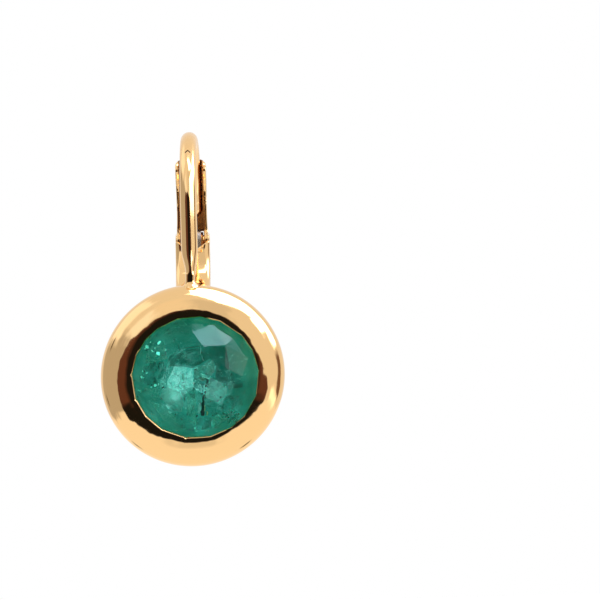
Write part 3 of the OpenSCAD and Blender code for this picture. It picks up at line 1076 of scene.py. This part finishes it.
def inclusions():
    """Crystals, pale streaks, glints, feathers, a yellow sliver, fine silk, pale flat flakes and dark
    sheets of painted shade.
    """
    # Gives the crystals the same uneven sides in every run
    noise.seed_set(4)
    feathers = []
    for k in range(FEATHERS):
        lean = 360 * k / FEATHERS + FEATHER_STRAY * math.sin(5 * k)
        reach = FEATHER_L + FEATHER_VARY * math.sin(3 * k)
        turn = math.radians(lean)
        x = FEATHERS_AT[0] + (FEATHER_GAP + 0.5 * reach) * math.sin(turn)
        z = FEATHERS_AT[1] + (FEATHER_GAP + 0.5 * reach) * math.cos(turn)
        feathers.append((x, z, reach, FEATHER_W, lean, FEATHER_DEPTH))
    chance = np.random.default_rng(5)
    silk = []
    while len(silk) < SILK_COUNT:
        x, z = chance.uniform(-3.0, 3.0, 2)
        r = math.hypot(x, z)
        length = chance.uniform(*SILK_LENGTHS)
        lean = chance.uniform(0, 180)
        share = chance.uniform(0.0, 1.0)
        if r < SILK_R:
            width = chance.uniform(*SILK_WIDTHS)
            silk.append((x, z, length, width, lean, SILK_DEPTH + SILK_DEEPER * share * (3.2 - r)))
    kinds = (
        ("inclusions_dark", MINERAL, shard, DARK_INCLUSIONS, {}),
        ("inclusions_pale", FROST, shard, PALE_INCLUSIONS, {}),
        ("glints_left", SPARK, shard, SPARKS, glint(-0.11, 0.42)),
        ("glints_side", SPARK, shard, SIDE_SPARKS, glint(-0.18, 0.27)),
        ("glints_low", SPARK, shard, LOW_SPARKS, glint(0.28, -0.17)),
        ("feathers", SPARK, shard, feathers, glint(0.33, 0.04)),
        ("inclusions_yellow", RUST, shard, YELLOW_INCLUSIONS, {}),
        ("silk_pale", SILK, shard, silk[::2], {"sides": 3}),
        ("silk_dark", MOSS, shard, silk[1::2], {"sides": 3}),
        ("veils_pale", VEIL, veil, VEILS, {}),
        ("veils_thin", MIST, veil, MISTS, {}),
        # Dark sheets of painted shade over what lies behind them
        ("veils_painted_shade", SHADE, veil, SHADES, {}),
        ("veils_painted_shade_thin", DUSK, veil, DUSKS, {}),
    )
    pieces = []
    for name, material, shape, rows, form in kinds:
        skin = join_parts([shape(*row, **form) for row in rows])
        smooth = not name.startswith(("glints", "veils"))
        pieces.append(make_piece(name, *skin, material, smooth))
    return pieces


root_pieces = {
    "setting": [bezel(), hook(), *base()],
    "emerald": [emerald(), *inclusions()],
    "hinge_pin": [hinge_pin()],
    "hinge_spring": [spring()],
}
for node, pieces in root_pieces.items():
    for piece in pieces:
        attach(piece, "root")
        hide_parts(node)
channel = lever()
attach(channel, "lever")
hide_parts("lever")


# Studio

# Edge of the dark front of the tent, seen from the earring: turn round the view axis, counted
# anticlockwise from the right, and angle off that axis, both in degrees
DARK_EDGE = (
    (0, 28), (20, 22), (45, 15), (100, 16), (125, 20), (142, 23), (157, 38), (187, 46), (210, 52),
    (219, 42), (228, 31), (245, 22), (290, 19), (315, 26), (330, 40), (342, 48), (353, 42), (360, 28),
)
# Brightness of what lies behind each lower facet of the stone, by turn round the view axis
BACKING = (
    (0, 0.16), (8, 0.07), (35, 0.1), (48, 0.4), (85, 0.44), (95, 0.6), (130, 0.66), (140, 0.66),
    (175, 0.68), (185, 1.0), (240, 1.0), (248, 0.5), (262, 0.44), (275, 0.28), (310, 0.3),
    (320, 0.62), (350, 0.62), (359, 0.14),
)
# Small dark things that the rim and the hook mirror: turn from and to, angle off the axis from and to
DARK_MARKS = (
    (153, 161, 91, 97), (191.5, 198.5, 103.5, 108.5),
    (227, 233, 115.5, 122.5), (300.5, 307.5, 105.5, 114.5),
)
SOFTBOX = (5.5, 5.3, 5.8, 1.0)
# The softbox's bowed lower edge: turn of its lowest point, slope, and where it fades in
BOW_TURN = 70.0
BOW_SLOPE = 0.8
BOW_FADE = (51.5, 56.5)


def grey(level, warmth=0.0):
    return (level, level * (1 - 0.4 * warmth), level * (1 - warmth), 1.0)


def studio_world():
    """A white tent with a dark front opening, a dim left wall and a softbox at the upper right."""
    world = bpy.data.worlds.new("studio")
    bpy.context.scene.world = world
    world.use_nodes = True
    art = Painter(world.node_tree)
    art.tree.nodes.clear()

    place = art.place("Generated")
    x, y, z = art.split(place)

    def shake(scale, amount, detail=2.0):
        """A random angle that changes with direction, for uneven edges."""
        return art.times(art.calc("SUBTRACT", art.noise(place, scale, detail), 0.5), amount)

    def degrees(value):
        return art.times(value, 180 / math.pi)

    front = art.times(y, -1.0)
    axis_turn = degrees(art.calc("ARCTAN2", z, x))
    clean_off = degrees(art.calc("ARCCOSINE", front))
    off = art.calc("ADD", clean_off, shake(5.0, 8.0))
    wave = shake(3.0, 16.0)
    right = art.calc("ADD", axis_turn, wave)
    left = degrees(art.calc("ARCTAN2", z, art.times(x, -1.0)))
    below = art.calc("ADD", degrees(art.calc("ARCTAN2", art.times(z, -1.0), x)), wave)

    light = grey(0.92)

    def patch(light, turn, low, high, near, far, colour, soft, off_axis=off):
        """Paints the part of the tent between two turns and two angles off the axis, in degrees."""
        share = art.times(art.band(turn, low, high, soft), art.band(off_axis, near, far, soft))
        return art.paint(light, colour, share)

    patches = (
        # Dim wall to the left, with paler folds above it
        (left, -34, 34, 30, 125, grey(0.55), 7),
        (right, 122, 150, 26, 56, grey(1.15, -0.15), 5),
        (right, 120, 156, 74, 122, grey(1.25, -0.1), 5),
        # Haze above the front opening
        (right, 60, 94, 10, 52, grey(0.78), 6),
        (right, 94, 122, 10, 62, grey(0.98, 0.05), 6),
        # Pale table below
        (below, 24, 153, 16, 180, grey(1.08), 2.5),
        (below, 72, 112, 16, 40, grey(0.86), 8),
        # Right part of the softbox
        (right, 19, 31, 84, 112, SOFTBOX, 2.5),
        (right, 29, 45, 65, 114, SOFTBOX, 2.5),
    )
    for row in patches:
        light = patch(light, *row)
    # Its main part, with the bowed edge
    bow = art.times(art.calc("ABSOLUTE", art.calc("SUBTRACT", right, BOW_TURN)), BOW_SLOPE)
    bowed = art.ramp(art.calc("SUBTRACT", off, bow), *BOW_FADE)
    share = art.times(art.times(art.band(right, 43, 94, 2.5), art.band(off, 0, 76, 2)), bowed)
    light = art.paint(light, SOFTBOX, share)
    # A pale reflector low on the right, and a dark gap above it
    light = patch(light, below, 12, 24, 62, 95, grey(1.7), 4)
    light = patch(light, right, -17, 14, 84, 106, (0.2, 0.12, 0.09, 1.0), 3)
    turn = art.calc("FLOORED_MODULO", axis_turn, 360.0)
    for mark in DARK_MARKS:
        light = patch(light, turn, *mark, grey(0.12, 0.5), 2.6, clean_off)
    # Dark front with a brown rim
    points = [(a / 360, off_axis / 90) for a, off_axis in DARK_EDGE]
    edge = art.times(art.curve(art.calc("DIVIDE", turn, 360.0), points), 90.0)
    inside = art.calc("SUBTRACT", edge, art.calc("ADD", clean_off, shake(6.0, 9.0, 3.0)))
    black_side = art.band(turn, 201, 338, 6)
    outer = art.ramp(art.calc("ADD", clean_off, shake(4.0, 10.0)), 10, 22)
    brown = art.times(outer, art.calc("SUBTRACT", 1.0, black_side))
    dark = art.paint(grey(0.012), (0.13, 0.055, 0.042, 1.0), brown)
    light = art.paint(light, dark, art.ramp(inside, -1.5, 1.5))

    # What shines through the stone: the tent, softer, and an uneven dark backing behind it
    through = grey(0.66)
    through = art.paint(through, grey(0.45), art.band(left, -50, 50, 20))
    through = patch(through, right, 15, 95, 45, 100, grey(3.2), 4)
    through = art.paint(through, grey(0.02), art.ramp(inside, -3, 3))
    behind = art.calc("SUBTRACT", 180.0, clean_off)
    opposite = art.calc("FLOORED_MODULO", art.calc("ADD", axis_turn, 180.0), 360.0)
    shares = [((a + 0.5) / 360, level) for a, level in BACKING]
    petal = art.curve(art.calc("DIVIDE", opposite, 360.0), shares)
    blotch = art.calc("MULTIPLY_ADD", petal, 1.6, shake(9.0, 0.5, 4.0))
    tone = art.node("ShaderNodeCombineColor")
    for channel in tone.inputs:
        art.feed(channel, blotch)
    through = art.paint(through, tone.outputs[0], art.band(behind, -1, 50, 6))

    seen = art.node("ShaderNodeLightPath")
    light = art.paint(light, through, seen.outputs["Is Transmission Ray"])
    backdrop = art.fill(art.node("ShaderNodeBackground"), Color=grey(1.0))
    tent = art.fill(art.node("ShaderNodeBackground"), Color=light)
    choose = art.fill(art.node("ShaderNodeMixShader"), Fac=seen.outputs["Is Camera Ray"])
    art.feed(choose.inputs[1], tent.outputs[0])
    art.feed(choose.inputs[2], backdrop.outputs[0])
    art.fill(art.node("ShaderNodeOutputWorld"), Surface=choose.outputs[0])


def floor():
    """A plain pale floor well below the hanging earring."""
    radius, level = 110.0, -30.0
    ring = [(radius * math.cos(a), radius * math.sin(a), level) for a in round_angles(96)]
    pale = even_material("floor_pale", (0.92, 0.92, 0.92, 1.0), 0.6)
    plane = make_piece("floor", ring, [tuple(range(len(ring)))], pale)
    plane.visible_glossy = False
    plane.visible_transmission = False


def camera():
    """A long lens in front of the bezel. The photograph's pixels give the framing."""
    image_px = 600
    scale_px_mm = 18.5
    distance = 350.0
    azimuth = math.radians(0.65)
    roll = math.radians(1.5)
    bezel_px = Vector((192.1, 375.85))
    lens = bpy.data.cameras.new("camera")
    lens.sensor_width = 36.0
    lens.lens = lens.sensor_width * distance * scale_px_mm / image_px
    lens.clip_start = 0.01
    lens.clip_end = 5.0
    body = add_object("camera", lens)
    bpy.context.scene.camera = body
    forward = Vector((-math.sin(azimuth), math.cos(azimuth), 0.0))
    right = Vector((math.cos(azimuth), math.sin(azimuth), 0.0))
    up = Vector((0.0, 0.0, 1.0))
    tilt_right = right * math.cos(roll) - up * math.sin(roll)
    tilt_up = right * math.sin(roll) + up * math.cos(roll)
    target = Vector((0.0, CREST_Y, BEZEL_Z))
    target += tilt_right * ((image_px / 2 - bezel_px.x) / scale_px_mm)
    target += tilt_up * ((bezel_px.y - image_px / 2) / scale_px_mm)
    stand(body, tilt_right, tilt_up, -forward, (target - forward * distance) * MM)


def white_card(name, piece, middle, away, up, width, height, strength):
    """A white card that lights one piece alone. away points from the piece to the card."""
    card = bpy.data.lights.new(name, "AREA")
    card.shape = "RECTANGLE"
    card.size = width * MM
    card.size_y = height * MM
    card.energy = strength * math.pi * card.size * card.size_y
    body = add_object(name, card)
    stand(body, up.cross(away), up, away, [c * MM for c in middle])
    body.visible_camera = False
    lit = bpy.data.collections.new(name + "_lit")
    lit.objects.link(piece)
    body.light_linking.receiver_collection = lit


def hook_card(wire):
    """Beside the hook, for its long pale streak."""
    off = math.radians(56)
    distance, width, low, high = 60.0, 70.0, -2.6, 50.0
    away = Vector((math.sin(off), -math.cos(off), 0.0))
    middle = Vector((0.0, -ARCH_R, (low + high) / 2)) + distance * away
    white_card("hook_card", wire, middle, away, Vector((0.0, 0.0, 1.0)), width, high - low, 3.0)


def bezel_card(ring):
    """Above the bezel, where it carries on the softbox's streak to the rim."""
    turn, off = math.radians(69), math.radians(93)
    distance, width, height = 60.0, 54.0, 42.0
    away = Vector((math.sin(off) * math.cos(turn), -math.cos(off), math.sin(off) * math.sin(turn)))
    up = Vector((math.cos(off) * math.cos(turn), math.sin(off), math.cos(off) * math.sin(turn)))
    middle = Vector((0.0, CREST_Y, BEZEL_Z)) + distance * away
    white_card("bezel_card", ring, middle, away, up, width, height, SOFTBOX[0])


studio_world()
floor()
bezel_card(root_pieces["setting"][0])
hook_card(root_pieces["setting"][1])
camera()

scene = bpy.context.scene
scene.view_settings.view_transform = "Standard"
scene.cycles.max_bounces = 24
scene.cycles.transmission_bounces = 24
scene.cycles.glossy_bounces = 6
scene.cycles.volume_bounces = 6
